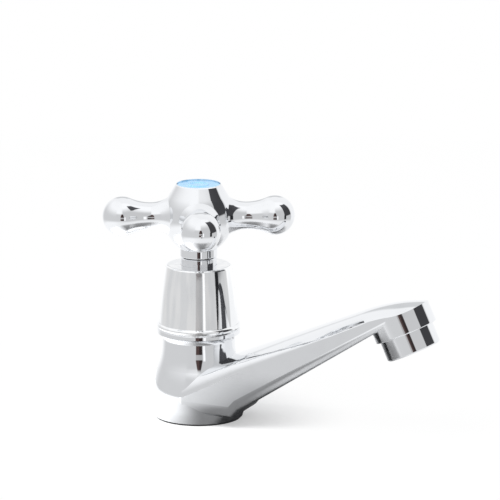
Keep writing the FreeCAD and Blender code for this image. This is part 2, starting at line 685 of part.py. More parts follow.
def make_body():
    """The cast body: foot, flared column, collar, spout and outlet head."""
    body = new_body("tap_body")
    flare_joint_radius = (
        "column_radius + (foot_radius - column_radius) * flare_balance"
    )
    flare_joint_height = "flare_top - (flare_top - flare_bottom) * flare_balance"
    add_turned(
        body,
        "column",
        [
            (0, "body_floor"),
            ("foot_rim_radius", "body_floor", LEVEL_END),
            ("foot_radius", "foot_curve_top"),
            ("foot_radius", "flare_bottom", LEVEL_START),
            (flare_joint_radius, flare_joint_height, LEVEL_END),
            ("column_radius", "flare_top"),
            ("column_radius", "cove_bottom", LEVEL_START),
            ("collar_radius", "cove_bottom + cove_height"),
            ("collar_radius", "collar_top - collar_edge", LEVEL_START),
            ("collar_radius - collar_edge", "collar_top"),
            (0, "collar_top"),
        ],
    )
    add_spout(body)
    add_turned(
        body,
        "head",
        [
            (0, "shell_length"),
            ("head_radius - head_edge", "shell_length", PLUMB_START),
            ("head_radius", "shell_length + head_edge"),
            ("head_radius", "shell_length + head_length"),
            (0, "shell_length + head_length"),
        ],
        **outlet_frame(),
    )
    trim_nose(body)
    level_crest(body)
    add_turned(
        body,
        "spigot",
        [
            (0, "spigot_end"),
            ("spigot_radius", "spigot_end"),
            ("spigot_radius", "shell_length + head_edge"),
            (0, "shell_length + head_edge"),
        ],
        **outlet_frame(),
    )
    recess = "gasket_radius + screwed"
    washer_recess = "bonnet_washer_radius + screwed"
    cut_turned(
        body,
        "waterway_and_seat",
        [
            (0, "body_floor - past"),
            (recess, "body_floor - past"),
            (recess, "gasket_top"),
            ("inlet_thread_radius", "gasket_top"),
            ("inlet_thread_radius", "inlet_socket_top"),
            ("seat_bore_radius", "inlet_socket_top"),
            ("seat_bore_radius", "seat_height"),
            ("seat_bore_radius + seat_lip_land", "seat_height"),
            ("seat_lip_radius", "chamber_floor"),
            ("chamber_radius", "chamber_floor"),
            ("chamber_radius", "thread_bottom"),
            ("bonnet_thread_radius", "thread_bottom"),
            ("bonnet_thread_radius", "bonnet_seat"),
            (washer_recess, "bonnet_seat"),
            (washer_recess, "collar_top + past"),
            (0, "collar_top + past"),
        ],
    )
    length = "sqrt(waterway_run ^ 2 + waterway_rise ^ 2)"
    cut_turned(
        body,
        "spout_waterway",
        [
            (0, 0),
            (length, 0),
            (length, "waterway_radius"),
            (0, "waterway_radius"),
        ],
        axis="H_Axis",
        x="waterway_low_x",
        y="waterway_low_z",
        turn="atan(waterway_rise / waterway_run)",
    )
    cut_turned(
        body,
        "outlet_chamber",
        [
            (0, "spigot_end - past"),
            ("outlet_chamber_radius", "spigot_end - past"),
            ("outlet_chamber_radius", "shell_length + outlet_chamber_depth"),
            (0, "shell_length + outlet_chamber_depth"),
        ],
        **outlet_frame(),
    )
    return body


def make_gasket():
    """Rubber gasket in the recess under the foot."""
    return ring("base_gasket", "gasket_bore", "gasket_radius", 0, "gasket_top")


def make_tail():
    """Threaded tail, screwed into the foot and carried down through the deck."""
    tail = new_body("inlet_tail")
    socket = "inlet_thread_radius - screwed"
    add_turned(
        tail,
        "tube",
        [
            ("tail_bore_radius", "-tail_length"),
            ("pilot_radius", "-tail_length"),
            ("pilot_radius", "-tail_length + pilot_length"),
            ("tail_radius", "-tail_length + pilot_length + tail_radius - pilot_radius"),
            ("tail_radius", "tail_shoulder"),
            (socket, "tail_shoulder"),
            (socket, "inlet_socket_top - loose"),
            ("tail_bore_radius", "inlet_socket_top - loose"),
        ],
    )
    ring(
        "tail_seal", "inlet_thread_radius", "tail_radius", "tail_shoulder", "gasket_top"
    )
    return tail


def make_deck_fixings():
    """Rubber washer, metal washer and backnut that clamp the basin deck."""
    ring(
        "deck_washer",
        "gasket_bore",
        "deck_washer_radius",
        "deck_washer_bottom",
        "-deck_thickness",
    )
    ring(
        "clamp_washer",
        "gasket_bore",
        "clamp_washer_radius",
        "clamp_washer_bottom",
        "deck_washer_bottom",
    )
    nut = new_body("backnut")
    add_turned(
        nut,
        "collar",
        [
            (0, "clamp_washer_bottom - backnut_collar"),
            ("backnut_collar_radius", "clamp_washer_bottom - backnut_collar"),
            ("backnut_collar_radius", "clamp_washer_bottom"),
            (0, "clamp_washer_bottom"),
        ],
    )
    add_prism(
        nut,
        "hexagon",
        hexagon("backnut_flats"),
        "backnut_bottom",
        "backnut_thickness - backnut_collar",
    )
    bevel_hexagon(nut, "bevel", "backnut_flats", "backnut_bottom", -1)
    cut_turned(
        nut,
        "thread",
        [
            (0, "backnut_bottom - past"),
            ("tail_radius + screwed + thread_bevel * 2", "backnut_bottom - past"),
            ("tail_radius + screwed + thread_bevel", "backnut_bottom"),
            ("tail_radius + screwed", "backnut_bottom + thread_bevel"),
            ("tail_radius + screwed", "clamp_washer_bottom + past"),
            (0, "clamp_washer_bottom + past"),
        ],
    )


# ------------------------------------------------------------- headgear ----
def make_bonnet():
    """Bonnet screwed into the body, with its washer."""
    ring(
        "bonnet_washer",
        "bonnet_thread_radius",
        "bonnet_washer_radius",
        "bonnet_seat",
        "flange_bottom",
    )
    bonnet = new_body("bonnet")
    thread = "bonnet_thread_radius - screwed"
    add_turned(
        bonnet,
        "barrel",
        [
            (0, "thread_bottom + loose"),
            (f"{thread} - thread_bevel", "thread_bottom + loose"),
            (thread, "thread_bottom + loose + thread_bevel"),
            (thread, "flange_bottom"),
            ("flange_radius", "flange_bottom"),
            ("flange_radius", "flange_top"),
            ("bonnet_neck_radius", "flange_top"),
            ("bonnet_neck_radius", "bonnet_top - fine_bevel"),
            ("bonnet_neck_radius - fine_bevel", "bonnet_top"),
            (0, "bonnet_top"),
        ],
    )
    add_prism(bonnet, "hexagon", hexagon("bonnet_flats"), "flange_top", "bonnet_hex_height")
    bevel_hexagon(bonnet, "bevel", "bonnet_flats", "hex_top", 1)
    stem = "stem_radius + running"
    lifting = "spindle_thread_radius + running"
    cut_turned(
        bonnet,
        "bore",
        [
            (0, "thread_bottom"),
            ("bonnet_mouth_radius", "thread_bottom"),
            ("bonnet_mouth_radius", "guide_bottom"),
            (lifting, "guide_bottom"),
            (lifting, "guide_top"),
            (stem, "guide_top"),
            (stem, "packing_floor"),
            ("packing_radius", "packing_floor"),
            ("packing_radius", "bonnet_top + past"),
            (0, "bonnet_top + past"),
        ],
    )


def make_gland():
    """Packing ring and the gland nut, whose boss shows above the shroud."""
    ring(
        "gland_packing",
        "stem_radius + running",
        "packing_radius",
        "packing_floor",
        "packing_top",
    )
    gland = new_body("gland_nut")
    thread = "packing_radius - screwed"
    add_turned(
        gland,
        "boss",
        [
            (0, "packing_top"),
            (thread, "packing_top"),
            (thread, "bonnet_top"),
            ("boss_radius", "bonnet_top"),
            ("boss_radius", "boss_top - fine_bevel"),
            ("boss_radius - fine_bevel", "boss_top"),
            (0, "boss_top"),
        ],
    )
    add_prism(gland, "hexagon", hexagon("gland_flats"), "bonnet_top", "gland_hex_height")
    bevel_hexagon(gland, "lower_bevel", "gland_flats", "bonnet_top", -1)
    bevel_hexagon(gland, "upper_bevel", "gland_flats", "(bonnet_top + gland_hex_height)", 1)
    cut_turned(
        gland,
        "bore",
        [
            (0, "packing_top - past"),
            ("stem_radius + running", "packing_top - past"),
            ("stem_radius + running", "boss_top + past"),
            (0, "boss_top + past"),
        ],
    )


def make_shroud():
    """Tapered shroud over the bonnet, with a bead round its foot."""
    land = "flange_radius + screwed"
    side_low = "collar_top + bead_height"
    side_high = "shroud_top - shroud_edge"
    inner_high = "shroud_top - shroud_wall"
    turned(
        "shroud",
        [
            (land, "collar_top"),
            ("bead_foot_radius", "collar_top"),
            ("bead_radius", "collar_top + bead_height / 2", LEVEL_START),
            ("shroud_base_radius", side_low, bulge("shroud_sweep_radius", 1)),
            ("shroud_top_radius", side_high, LEVEL_START),
            ("shroud_top_radius - shroud_edge", "shroud_top"),
            ("boss_radius + screwed", "shroud_top"),
            ("boss_radius + screwed", inner_high),
            ("shroud_top_radius - shroud_wall", inner_high),
            (f"{land} + thread_bevel", "collar_top + shroud_land_height + thread_bevel"),
            (land, "collar_top + shroud_land_height"),
        ],
    )


def make_spindle():
    """Spindle: lifting thread, polished stem and splined end."""
    spindle = new_body("spindle")
    add_turned(
        spindle,
        "blank",
        [
            (0, "spindle_bottom"),
            ("spindle_thread_radius - thread_bevel", "spindle_bottom"),
            ("spindle_thread_radius", "spindle_bottom + thread_bevel"),
            ("spindle_thread_radius", "spindle_thread_top - thread_bevel"),
            ("spindle_thread_radius - thread_bevel", "spindle_thread_top"),
            ("stem_radius", "spindle_thread_top"),
            ("stem_radius", "spline_bottom"),
            ("spline_radius", "spline_bottom"),
            ("spline_radius", "spindle_end - fine_bevel"),
            ("spline_radius - fine_bevel", "spindle_end"),
            (0, "spindle_end"),
        ],
    )
    stem_hole = "jumper_stem_radius + running"
    cut_turned(
        spindle,
        "jumper_hole",
        [
            (0, "spindle_bottom - past"),
            (stem_hole, "spindle_bottom - past"),
            (stem_hole, "jumper_stem_top + past"),
            (0, "jumper_stem_top + past + drill_point"),
        ],
    )
    cut_turned(
        spindle,
        "screw_hole",
        [
            (0, "screw_end - past - drill_point"),
            ("screw_radius + screwed", "screw_end - past"),
            ("screw_radius + screwed", "spindle_end + past"),
            (0, "spindle_end + past"),
        ],
    )
    root = "spline_radius - spline_depth"
    tooth = "180 deg / spline_teeth"
    groove = cut_prism(
        spindle,
        "spline_groove",
        wedge(
            root,
            "spline_radius + past",
            f"({root}) * tan({tooth} * groove_floor_share)",
            f"(spline_radius + past) * tan({tooth} * groove_mouth_share)",
        ),
        "spindle_end",
        "spline_length",
    )
    repeat_round(spindle, groove, "spline_teeth")


def make_jumper():
    """Jumper with its tap washer and nut; it is lifted but not turned."""
    turned(
        "jumper",
        [
            (0, "seat_height - jumper_nut_height - stud_end"),
            ("jumper_stud_radius", "seat_height - jumper_nut_height - stud_end"),
            ("jumper_stud_radius", "plate_bottom"),
            ("jumper_plate_radius", "plate_bottom"),
            ("jumper_plate_radius", "plate_top - thread_bevel"),
            ("jumper_plate_radius - thread_bevel", "plate_top"),
            ("jumper_stem_radius", "plate_top"),
            ("jumper_stem_radius", "jumper_stem_top - fine_bevel"),
            ("jumper_stem_radius - fine_bevel", "jumper_stem_top"),
            (0, "jumper_stem_top"),
        ],
    )
    stud_hole = "jumper_stud_radius + screwed"
    turned(
        "jumper_washer",
        [
            (stud_hole, "seat_height"),
            ("jumper_washer_radius - thread_bevel", "seat_height"),
            ("jumper_washer_radius", "seat_height + thread_bevel"),
            ("jumper_washer_radius", "plate_bottom"),
            (stud_hole, "plate_bottom"),
        ],
    )
    nut = new_body("jumper_nut")
    bottom = "seat_height - jumper_nut_height"
    add_prism(nut, "hexagon", hexagon("jumper_nut_flats"), bottom, "jumper_nut_height")
    bevel_hexagon(nut, "bevel", "jumper_nut_flats", f"({bottom})", -1)
    cut_turned(
        nut,
        "thread",
        [
            (0, f"{bottom} - past"),
            (stud_hole, f"{bottom} - past"),
            (stud_hole, "seat_height + past"),
            (0, "seat_height + past"),
        ],
    )


# --------------------------------------------------------------- handle ----
def make_handle():
    """One-piece cross: hub, neck and four arms that end in balls."""
    handle = new_body("handle")
    handle.Placement = Placement(
        Vector(), Rotation(Vector(0, 0, 1), value("arm_heading"))
    )
    handle.setExpression(".Placement.Rotation.Angle", formula("arm_heading"))
    add_turned(
        handle,
        "hub",
        [
            (0, "neck_bottom"),
            ("neck_radius - neck_edge", "neck_bottom", PLUMB_START),
            ("neck_radius", "neck_bottom + neck_edge"),
            ("neck_radius", "neck_top", LEVEL_END),
            ("hub_radius", "arm_level", LEVEL_START),
            (
                "dome_axis + hub_dome_radius * cos(dome_slant)",
                "arm_level + hub_dome_radius * sin(dome_slant)",
            ),
            ("hub_top_radius", "hub_summit - hub_edge"),
            ("hub_top_radius - hub_edge", "hub_summit"),
            (0, "hub_summit"),
        ],
    )
    waist = "arm_waist_place"
    join = "ball_centre - (ball_centre - arm_waist_place) * ball_share"
    join_radius = "(arm_waist_radius + waist_curve) * ball_share"
    arm = add_turned(
        handle,
        "arm",
        [
            ("arm_start", 0),
            ("arm_start", "arm_root_radius"),
            ("arm_root_place", "arm_root_radius", PLUMB_END),
            (waist, "arm_waist_radius", PLUMB_START),
            (join, join_radius, bulge("ball_radius", -1)),
            ("ball_centre + ball_radius", 0),
        ],
        axis="H_Axis",
        y="arm_level",
    )
    repeat_round(handle, arm, "arm_count")
    cut_turned(
        handle,
        "bore",
        [
            (0, "neck_bottom - past"),
            ("neck_bore_radius", "neck_bottom - past"),
            ("neck_bore_radius", "bush_bottom"),
            ("bush_radius", "bush_bottom"),
            ("bush_radius", "spindle_end + loose"),
            ("screw_radius + loose", "spindle_end + loose"),
            ("screw_radius + loose", "well_floor"),
            ("screw_well_radius", "well_floor"),
            ("screw_well_radius", "button_seat"),
            ("button_radius + screwed", "button_seat"),
            ("button_radius + screwed", "hub_summit + past"),
            (0, "hub_summit + past"),
        ],
    )


def make_bush():
    """Brass bush, splined to the spindle, in the neck of the handle."""
    bush = new_body("handle_bush")
    bore = "spline_radius + screwed"
    top = "spindle_end + loose"
    add_turned(
        bush,
        "sleeve",
        [
            (bore, "bush_bottom"),
            ("bush_radius", "bush_bottom"),
            ("bush_radius", top),
            (bore, top),
        ],
    )
    tooth = "180 deg / spline_teeth"
    tip = "spline_radius - spline_depth * key_reach"
    key = add_prism(
        bush,
        "spline_tooth",
        wedge(
            tip,
            "spline_radius + key_sunk",
            f"({tip}) * tan({tooth} * key_tip_share)",
            f"(spline_radius + key_sunk) * tan({tooth} * key_root_share)",
        ),
        "bush_bottom",
        "spline_length",
    )
    repeat_round(bush, key, "spline_teeth")


def make_handle_screw():
    """Screw and washer that hold the handle on the spindle."""
    ring(
        "screw_washer",
        "screw_radius + loose",
        "screw_head_radius + fine_bevel",
        "well_floor",
        "screw_seat",
    )
    screw = new_body("handle_screw")
    add_turned(
        screw,
        "blank",
        [
            (0, "screw_end"),
            ("screw_radius - fine_bevel", "screw_end"),
            ("screw_radius", "screw_end + fine_bevel"),
            ("screw_radius", "screw_seat"),
            ("screw_head_radius", "screw_seat"),
            ("screw_head_radius", "screw_seat + screw_head_height / 2", LEVEL_START),
            ("screw_head_radius / 2", "screw_seat + screw_head_height"),
            (0, "screw_seat + screw_head_height"),
        ],
    )
    reach = "screw_head_radius * 0.62"
    slot = cut_prism(
        screw,
        "slot",
        wedge(0, reach, "screw_slot / 2", "screw_slot / 2"),
        "screw_seat + screw_head_height",
        "screw_head_height * 0.6",
    )
    repeat_round(screw, slot, "screw_slots")


def make_index_button():
    """Coloured button with a raised ring, snapped into the hub."""
    skirt = "screw_well_radius - screwed"
    ring_low = "button_ring_radius - button_ring_height * 2"
    ring_high = "button_ring_radius + button_ring_height * 2"
    turned(
        "index_button",
        [
            (0, "button_seat"),
            (f"{skirt} - button_wall", "button_seat"),
            (f"{skirt} - button_wall", "button_seat - button_skirt"),
            (f"{skirt} - fine_bevel", "button_seat - button_skirt"),
            (skirt, "button_seat - button_skirt + fine_bevel"),
            (skirt, "button_seat"),
            ("button_radius", "button_seat"),
            ("button_radius", "button_top - fine_bevel", LEVEL_START),
            ("button_radius - fine_bevel", "button_top"),
            (ring_high, "button_top"),
            ("button_ring_radius", "button_top + button_ring_height"),
            (ring_low, "button_top"),
            (0, "button_top"),
        ],
    )


# -------------------------------------------------------------- aerator ----
def tilt_to_outlet(body):
    """Move a piece drawn upright over the origin to the tilted outlet."""
    body.Placement = Placement(
        Vector(value("outlet_reach"), 0, value("outlet_level")),
        Rotation(Vector(0, 1, 0), -value("outlet_tilt")),
    )
    body.setExpression(".Placement.Base.x", formula("outlet_reach"))
    body.setExpression(".Placement.Base.z", formula("outlet_level"))
    body.setExpression(".Placement.Rotation.Angle", formula("-outlet_tilt"))


def add_cell_ring(body, number, near, far, top, depth, count):
    """Cut one ring of cells through the straightener or the screen."""
    gap = "insert_web / 2"
    near_half = f"({near}) * tan(180 deg / ({count})) - {gap}"
    far_half = f"({far}) * tan(180 deg / ({count})) - {gap}"
    cell = cut_prism(
        body, f"cell_{number}", wedge(near, far, near_half, far_half), top, depth
    )
    repeat_round(body, cell, count)


def make_aerator():
    """Chromed shell, straightener, wire screen and washer of the aerator."""
    shell = turned(
        "aerator_shell",
        [
            ("shell_lip_radius", 0),
            ("shell_radius - shell_edge", 0),
            ("shell_radius", "shell_edge"),
            ("shell_radius", "shell_length"),
            ("spigot_radius + screwed", "shell_length"),
            ("spigot_radius + screwed", "shell_lip"),
            ("shell_lip_radius", "shell_lip"),
        ],
    )
    tilt_to_outlet(shell)
    insert = turned(
        "aerator_insert",
        [
            (0, "insert_recess"),
            ("insert_radius", "insert_recess"),
            ("insert_radius", "shell_lip"),
            ("insert_flange_radius", "shell_lip"),
            ("insert_flange_radius", "flange_seat"),
            (0, "flange_seat"),
        ],
    )
    cell_depth = "flange_seat - insert_recess + past"
    for number in range(3):
        near = f"insert_hub_radius + {number} * (insert_ring_width + insert_web)"
        far = f"{near} + insert_ring_width"
        count = f"insert_cells * {number + 1}"
        add_cell_ring(insert, number, near, far, "flange_seat", cell_depth, count)
    tilt_to_outlet(insert)
    screen = turned(
        "aerator_screen",
        [
            (0, "flange_seat"),
            ("screen_radius", "flange_seat"),
            ("screen_radius", "aerator_washer_floor"),
            (0, "aerator_washer_floor"),
        ],
    )
    for number in range(3):
        near = f"screen_hub_radius + {number} * (screen_mesh + insert_web * 2)"
        add_cell_ring(
            screen,
            number,
            near,
            f"{near} + screen_mesh",
            "aerator_washer_floor",
            "screen_thickness + past",
            f"screen_cells + insert_cells * {number}",
        )
    tilt_to_outlet(screen)
    washer = ring(
        "aerator_washer",
        "aerator_washer_bore",
        "screen_radius",
        "aerator_washer_floor",
        "spigot_end",
    )
    tilt_to_outlet(washer)


# ---------------------------------------------------------------- pieces ----
make_body()
make_gasket()
make_tail()
make_deck_fixings()
make_bonnet()
make_gland()
make_shroud()
make_spindle()
make_jumper()
make_handle()
make_bush()
make_handle_screw()
make_index_button()
make_aerator()
doc.recompute()

for item in doc.Objects:
    if "Invalid" in item.State or "Error" in item.State:
        raise ValueError(f"{item.Label} did not recompute: {item.State}")

pieces = [item for item in doc.Objects if item.TypeId == "PartDesign::Body"]
for piece in pieces:
    if piece.Shape.isNull() or not piece.Shape.isValid():
        raise ValueError(f"{piece.Label} has no valid shape")
    if len(piece.Shape.Solids) != 1:
        raise ValueError(f"{piece.Label} is {len(piece.Shape.Solids)} solids, not one")

os.makedirs("parts", exist_ok=True)
for piece in pieces:
    piece.Shape.exportStep(f"parts/{piece.Label}.step")
    print(f"{piece.Label}: {piece.Shape.Volume:.1f} mm3")
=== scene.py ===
"""Looks of a chrome basin tap with a cross handle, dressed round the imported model."""

import json
import logging
import math
from dataclasses import dataclass, field
from enum import Enum
from typing import Any, Callable

import bmesh
import bpy
from mathutils import Matrix, Vector


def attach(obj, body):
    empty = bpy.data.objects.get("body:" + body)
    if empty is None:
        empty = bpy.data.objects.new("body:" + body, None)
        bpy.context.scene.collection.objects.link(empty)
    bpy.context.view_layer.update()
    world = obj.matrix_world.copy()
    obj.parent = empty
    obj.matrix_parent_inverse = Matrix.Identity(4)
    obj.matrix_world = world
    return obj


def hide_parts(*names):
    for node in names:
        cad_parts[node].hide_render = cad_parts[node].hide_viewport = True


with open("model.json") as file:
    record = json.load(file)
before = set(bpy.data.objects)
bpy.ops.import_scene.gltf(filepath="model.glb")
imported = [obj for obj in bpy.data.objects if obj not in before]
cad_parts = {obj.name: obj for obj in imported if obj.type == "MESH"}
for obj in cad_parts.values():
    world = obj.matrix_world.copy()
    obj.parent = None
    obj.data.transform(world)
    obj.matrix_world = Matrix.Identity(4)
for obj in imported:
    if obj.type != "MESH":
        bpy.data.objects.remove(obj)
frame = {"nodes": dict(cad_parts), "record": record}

LOG = logging.getLogger("cross_handle_tap")

MM = 0.001
Triple = tuple[float, float, float]
Colour = Triple


class Body(Enum):
    """The moving bodies that new pieces ride on."""

    TAP = "tap"


class Output(Enum):
    """What a node tree belongs to, by the node that ends it."""

    MATERIAL = "ShaderNodeOutputMaterial"
    WORLD = "ShaderNodeOutputWorld"


# ------------------------------------------------------------ shader maths ----
class Signal:
    """One output of a node, on which shader maths is written as expressions."""

    def __init__(self, recipe: "Recipe", socket: bpy.types.NodeSocket) -> None:
        """Wrap the output socket of a node in a recipe's tree."""
        self.recipe = recipe
        self.socket = socket

    def out(self, name: str) -> "Signal":
        """Another output of the same node, by its name."""
        return Signal(self.recipe, self.socket.node.outputs[name])

    def math(self, operation: str, *values: Any) -> "Signal":
        """Put this value and further operands, as numbers or signals, through a Math node."""
        operands = dict(enumerate((self, *values)))
        return self.recipe.node("ShaderNodeMath", {"operation": operation}, operands)

    def __add__(self, other: Any) -> "Signal":
        """This value plus another."""
        return self.math("ADD", other)

    __radd__ = __add__

    def __mul__(self, other: Any) -> "Signal":
        """This value times another."""
        return self.math("MULTIPLY", other)

    __rmul__ = __mul__

    def __sub__(self, other: Any) -> "Signal":
        """This value less another."""
        return self.math("SUBTRACT", other)

    def __rsub__(self, other: Any) -> "Signal":
        """Another value less this one."""
        return self * -1.0 + other

    def larger(self, other: Any) -> "Signal":
        """The larger of two values."""
        return self.math("MAXIMUM", other)

    def towards(self, other: Any, share: "Signal") -> "Signal":
        """This value where the share is 0, the other where it is 1, and a mixture between."""
        return self * (1.0 - share) + share * other


@dataclass(frozen=True)
class Climb:
    """A soft step from 0 at its start to 1 at its end."""

    start: Any
    end: Any

    def of(self, value: Signal) -> Signal:
        """How far a value has climbed.

        Args:
            value: The value that the start and end are measured in.

        Returns:
            A value from 0 to 1.
        """
        return value.recipe.node(
            "ShaderNodeMapRange",
            {"interpolation_type": "SMOOTHSTEP"},
            {"Value": value, "From Min": self.start, "From Max": self.end},
        )


@dataclass(frozen=True)
class Span:
    """A range from low to high, whose edges are soft for so much to each side."""

    low: Any
    high: Any
    soft: float

    def of(self, value: Signal) -> Signal:
        """Where a value lies in the range.

        Args:
            value: The value that the range is measured in.

        Returns:
            1 inside the range and 0 outside it.
        """
        rising = Climb(self.low - self.soft, self.low + self.soft).of(value)
        falling = Climb(self.high - self.soft, self.high + self.soft).of(value)
        return rising * (1.0 - falling)


class Recipe:
    """The node tree of one material or world, and the one way nodes are made in it."""

    def __init__(self, owner: Any) -> None:
        """Empty the tree of its owner.

        Args:
            owner: A material or a world.
        """
        owner.use_nodes = True
        self.owner = owner
        self.tree = owner.node_tree
        self.tree.nodes.clear()

    def node(
        self,
        kind: str,
        settings: dict[str, Any] | None = None,
        inputs: dict[str | int, Any] | None = None,
    ) -> Signal:
        """Make a node.

        Args:
            kind: The node's type.
            settings: Its own settings, which are set first.
            inputs: Values or signals for its sockets, by name or number.

        Returns:
            The node's first live output, or its first input where it has none.
        """
        made = self.tree.nodes.new(kind)
        for name, setting in (settings or {}).items():
            setattr(made, name, setting)
        for name, given in (inputs or {}).items():
            socket = self._socket(made, name)
            if isinstance(given, Signal):
                self.tree.links.new(given.socket, socket)
            else:
                socket.default_value = given
        live = [socket for socket in made.outputs if socket.enabled]
        return Signal(self, (live or list(made.inputs))[0])

    @staticmethod
    def _socket(made: bpy.types.Node, name: str | int) -> bpy.types.NodeSocket:
        """Find an input of a node.

        Args:
            made: The node.
            name: The input's number, or the name of one that is live.

        Returns:
            The input.
        """
        if isinstance(name, int):
            return made.inputs[name]
        return next(item for item in made.inputs if item.enabled and item.name == name)

    def place(self) -> Signal:
        """Where a point lies on the piece, in metres."""
        return self.node("ShaderNodeTexCoord").out("Object")

    def grey(self, tone: Signal) -> Signal:
        """A grey of the given brightness."""
        return self.node("ShaderNodeCombineColor", None, {0: tone, 1: tone, 2: tone})

    def noise(self, place: Signal, scale: float, detail: float = 3.0) -> Signal:
        """Smooth noise from 0 to 1 with the given number of grains in a metre."""
        inputs = {"Vector": place, "Scale": scale, "Detail": detail}
        return self.node("ShaderNodeTexNoise", None, inputs)

    def drawn_noise(self, place: Signal, grains: Triple, detail: float = 2.0) -> Signal:
        """Smooth noise with its own number of grains in a metre in each direction."""
        drawn = self.node("ShaderNodeMapping", None, {"Vector": place, "Scale": grains})
        return self.noise(drawn, 1.0, detail)

    def blend(self, share: Any, first: Any, second: Any) -> Signal:
        """Mix two colours.

        Args:
            share: 0 for the first colour and 1 for the second.
            first: The first colour, as numbers or a signal.
            second: The second colour, as numbers or a signal.

        Returns:
            The mixed colour.
        """
        first = (*first, 1.0) if isinstance(first, tuple) else first
        second = (*second, 1.0) if isinstance(second, tuple) else second
        inputs = {"Factor": share, "A": first, "B": second}
        return self.node("ShaderNodeMix", {"data_type": "RGBA"}, inputs)

    def bump(self, height: Signal, depth: float = 1.0) -> Signal:
        """A normal that stands for a relief, where a height of 1 is so many metres."""
        return self.node("ShaderNodeBump", None, {"Height": height, "Distance": depth})

    def shine(self, inputs: dict[str, Any]) -> Signal:
        """The shader of a solid surface."""
        return self.node("ShaderNodeBsdfPrincipled", None, inputs)

    def finish(self, shader: Signal, output: Output = Output.MATERIAL) -> None:
        """Send a shader to the output of the tree."""
        self.node(output.value, None, {"Surface": shader})


# ---------------------------------------------------------------- finishes ----
# A GRAIN is grains in a metre, a DETAIL is the noise's finer layers, a RANGE is of the
# noise, a RELIEF is in metres, and a DULLING is what roughness gains at the most.
WHITE: Colour = (1.0, 1.0, 1.0)
FINE_DETAIL = 2.0

HAZE_GRAIN = 120.0
HAZE_DETAIL = 4.0
HAZE_RANGE = Climb(0.48, 0.78)
HAZE_TINT_SHARE = 0.5
HAZE_DIMMING = 0.94
HAIR_GRAIN = (900.0, 900.0, 60.0)
HAIR_RANGE = Climb(0.62, 0.8)
HAIR_DULLING = 0.03
# A STREAK is a painted reflection: an upright lighter streak in the chrome's colour.
PAINTED_STREAK_GRAIN = (330.0, 330.0, 22.0)
PAINTED_STREAK_RANGE = Climb(0.38, 0.66)
RIPPLE_DETAIL = 1.0

TURNING_GRAIN = 20.0
TURNING_DULLING = 0.18
TURNING_RELIEF = 0.00001
TARNISH_GRAIN = 150.0
TARNISH_DETAIL = 5.0
TARNISH_RANGE = Climb(0.42, 0.72)
TARNISH_SHARE = 0.7
TARNISH_DULLING = 0.16

BLOOM_COLOUR = (0.11, 0.11, 0.115)
BLOOM_GRAIN = 260.0
BLOOM_DETAIL = 5.0
BLOOM_RANGE = Climb(0.5, 0.8)
BLOOM_SHARE = 0.35
BLOOM_DULLING = 0.15
RUBBER_ROUGHNESS = 0.62
RUBBER_GRAIN = 2500.0
RUBBER_RELIEF = 0.00003

MOTTLE_GRAIN = (700.0, 700.0, 2200.0)
MOTTLE_DETAIL = 4.0
MOTTLE_RANGE = Climb(0.35, 0.7)
MOTTLE_DARKENING = 0.6
MOTTLE_DULLING = 0.3
FIBRE_ROUGHNESS = 0.45
FIBRE_RELIEF = 0.00004

CLOUD_GRAIN = 320.0
CLOUD_RANGE = Climb(0.3, 0.75)
CLOUD_GAIN = 1.12
CLOUD_LIFT = 0.02
CLOUD_DULLING = 0.08
MOULD_GRAIN = 900.0
MOULD_RELIEF = 0.000006


@dataclass(frozen=True)
class Finish:
    """What every finish has: a name, a base colour and its way to a material."""

    name: str
    colour: Colour

    def surface(self, mix: Recipe, place: Signal) -> dict[str, Any]:
        """What the shader is given, which each finish says for itself."""
        raise NotImplementedError

    def material(self) -> bpy.types.Material:
        """Make the material.

        Returns:
            The material.
        """
        mix = Recipe(bpy.data.materials.new(self.name))
        mix.finish(mix.shine(self.surface(mix, mix.place())))
        return mix.owner


@dataclass(frozen=True)
class ChromeFinish(Finish):
    """Bright chrome plate over a polished casting or turning."""

    gloss: float = 0.035
    haze: float = 0.05
    ripple: float = 0.000012
    ripple_grain: float = 85.0
    # How strongly the painted reflection streaks lighten the colour.
    painted_reflection_streaks: float = 0.0

    def surface(self, mix: Recipe, place: Signal) -> dict[str, Any]:
        """Mirror-bright plate with faint ripple, haze, hairlines and upright streaks of
        painted reflection.

        Args:
            mix: The material's node tree.
            place: Where a point lies on the piece.

        Returns:
            What the shader is given.
        """
        haze = HAZE_RANGE.of(mix.noise(place, HAZE_GRAIN, HAZE_DETAIL))
        hair = HAIR_RANGE.of(mix.drawn_noise(place, HAIR_GRAIN))
        # Painted reflection: upright streaks that lighten the base colour towards white.
        painted_streak = PAINTED_STREAK_RANGE.of(mix.drawn_noise(place, PAINTED_STREAK_GRAIN))
        hazy = tuple(channel * HAZE_DIMMING for channel in self.colour)
        tint = mix.blend(haze * HAZE_TINT_SHARE, self.colour, hazy)
        relief = mix.noise(place, self.ripple_grain, RIPPLE_DETAIL) * self.ripple
        return {
            "Base Color": mix.blend(painted_streak * self.painted_reflection_streaks, tint, WHITE),
            "Metallic": 1.0,
            "Roughness": haze * self.haze + hair * HAIR_DULLING + self.gloss,
            "Normal": mix.bump(relief),
        }


@dataclass(frozen=True)
class TurnedMetalFinish(Finish):
    """Brass or steel straight from the lathe, with its turning marks and tarnish."""

    tarnish: Colour
    gloss: float = 0.24
    rings_grain: float = 2600.0

    def surface(self, mix: Recipe, place: Signal) -> dict[str, Any]:
        """Fine rings along the axis, duller patches and a little relief.

        Args:
            mix: The material's node tree.
            place: Where a point lies on the piece.

        Returns:
            What the shader is given.
        """
        rings = mix.drawn_noise(place, (TURNING_GRAIN, TURNING_GRAIN, self.rings_grain))
        patches = TARNISH_RANGE.of(mix.noise(place, TARNISH_GRAIN, TARNISH_DETAIL))
        return {
            "Base Color": mix.blend(patches * TARNISH_SHARE, self.colour, self.tarnish),
            "Metallic": 1.0,
            "Roughness": rings * TURNING_DULLING + patches * TARNISH_DULLING + self.gloss,
            "Normal": mix.bump(rings, TURNING_RELIEF),
        }


